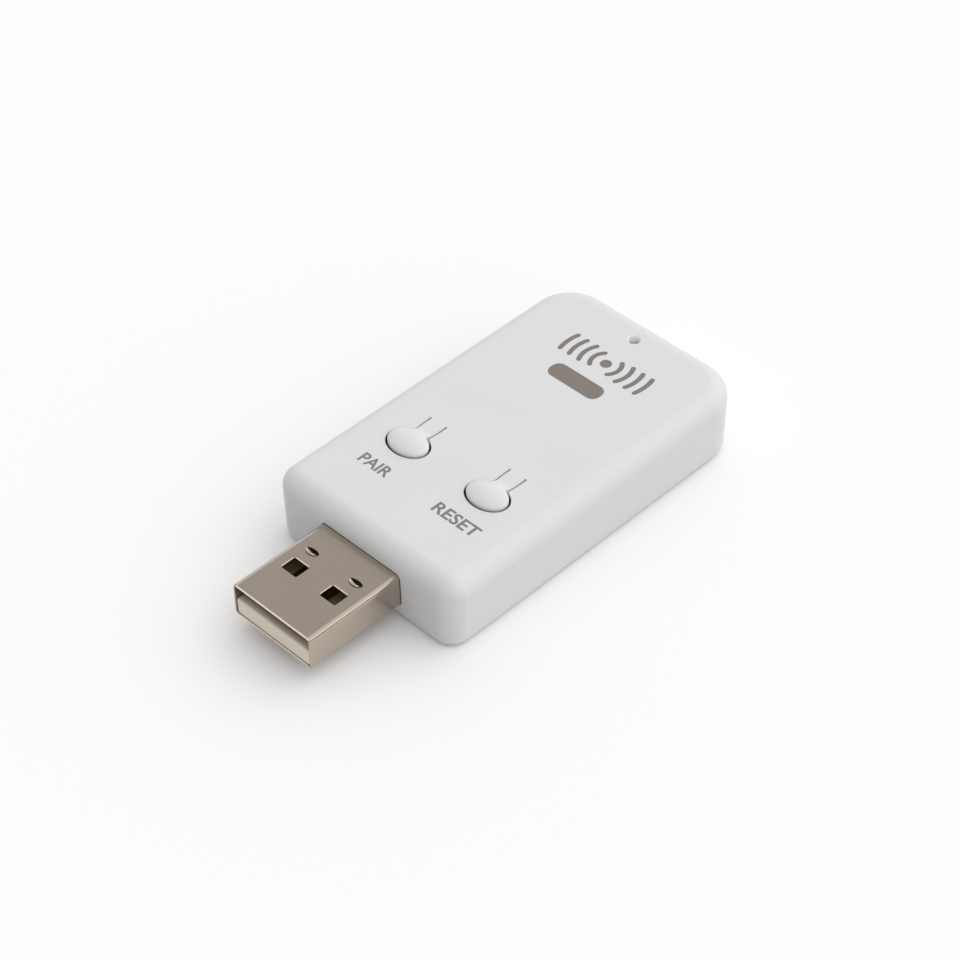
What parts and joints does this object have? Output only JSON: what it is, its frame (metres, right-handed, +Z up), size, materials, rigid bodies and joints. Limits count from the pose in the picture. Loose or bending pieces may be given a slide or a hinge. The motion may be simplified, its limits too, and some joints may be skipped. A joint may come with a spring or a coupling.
{
  "type": "bluetooth gateway",
  "caption": "Flat white stick housing with a USB-A plug at one end, sprung push buttons with flexing arms, a status light hole and a radio board inside.",
  "frame": {"origin": "middle of the overall length and width, on the flat underside that the casing rests on", "axes": "+X across the width, -Y towards the plug's tip, +Z up out of the button face"},
  "size_m": [0.0276, 0.0601, 0.0101],
  "materials": {
    "casing_plastic": "white ABS with a fine satin moulded surface",
    "clear_plastic": "frosted translucent light pipe",
    "plug_steel": "nickel-plated sheet steel with a warm satin sheen",
    "insulator_plastic": "off-white heat-resistant plastic",
    "contact_gold": "gold-plated contact strip",
    "board_laminate": "green solder mask over glass laminate",
    "trace_copper": "printed copper trace",
    "plated_steel": "tin-plated pressed sheet",
    "tinned_metal": "tinned legs",
    "black_plastic": "black moulded package",
    "plunger_plastic": "dark moulded plunger",
    "lamp_plastic": "clear lamp with a pale phosphor",
    "chip_ceramic": "fired ceramic with tinned ends"
  },
  "bodies": {
    "casing": {"antenna": "trace_copper", "bottom_cover": "casing_plastic", "capacitors": "chip_ceramic", "circuit_board": "board_laminate", "crystal": "plated_steel", "light_pipe": "clear_plastic", "pair_switch_base": "black_plastic", "pair_switch_dome": "plated_steel", "pair_switch_plate": "plated_steel", "pair_switch_terminals": "tinned_metal", "power_inductor": "black_plastic", "radio_chip": "black_plastic", "reset_switch_base": "black_plastic", "reset_switch_dome": "plated_steel", "reset_switch_plate": "plated_steel", "reset_switch_terminals": "tinned_metal", "resistors": "chip_ceramic", "shield_can": "plated_steel", "status_lamp": "lamp_plastic", "surge_guard": "black_plastic", "top_cover": "casing_plastic", "usb_contact_1": "contact_gold", "usb_contact_2": "contact_gold", "usb_contact_3": "contact_gold", "usb_contact_4": "contact_gold", "usb_insulator": "insulator_plastic", "usb_shell": "plug_steel", "voltage_regulator": "black_plastic"},
    "pair_button": {"pair_button": "casing_plastic"},
    "pair_plunger": {"pair_switch_plunger": "plunger_plastic"},
    "reset_button": {"reset_button": "casing_plastic"},
    "reset_plunger": {"reset_switch_plunger": "plunger_plastic"}
  },
  "joints": [
    {"name": "pair_press", "type": "hinge", "parent": "casing", "child": "pair_button", "pos_m": [-0.0061, 0.00085, 0.0085], "axis": [1, 0, 0], "range_deg": [0, 3], "stiffness_Nm_per_rad": 0.15},
    {"name": "pair_plunger_travel", "type": "slide", "parent": "casing", "child": "pair_plunger", "axis": [0, 0, -1], "range_m": [0, 0.00027], "deforming": ["pair_switch_dome"]},
    {"name": "reset_press", "type": "hinge", "parent": "casing", "child": "reset_button", "pos_m": [0.0061, 0.00085, 0.0085], "axis": [1, 0, 0], "range_deg": [0, 3], "stiffness_Nm_per_rad": 0.15},
    {"name": "reset_plunger_travel", "type": "slide", "parent": "casing", "child": "reset_plunger", "axis": [0, 0, -1], "range_m": [0, 0.00027], "deforming": ["reset_switch_dome"]}
  ],
  "couplings": [
    {"joint": "pair_plunger_travel", "follows": "pair_press", "m_per_rad": 0.005},
    {"joint": "reset_plunger_travel", "follows": "reset_press", "m_per_rad": 0.005}
  ]
}
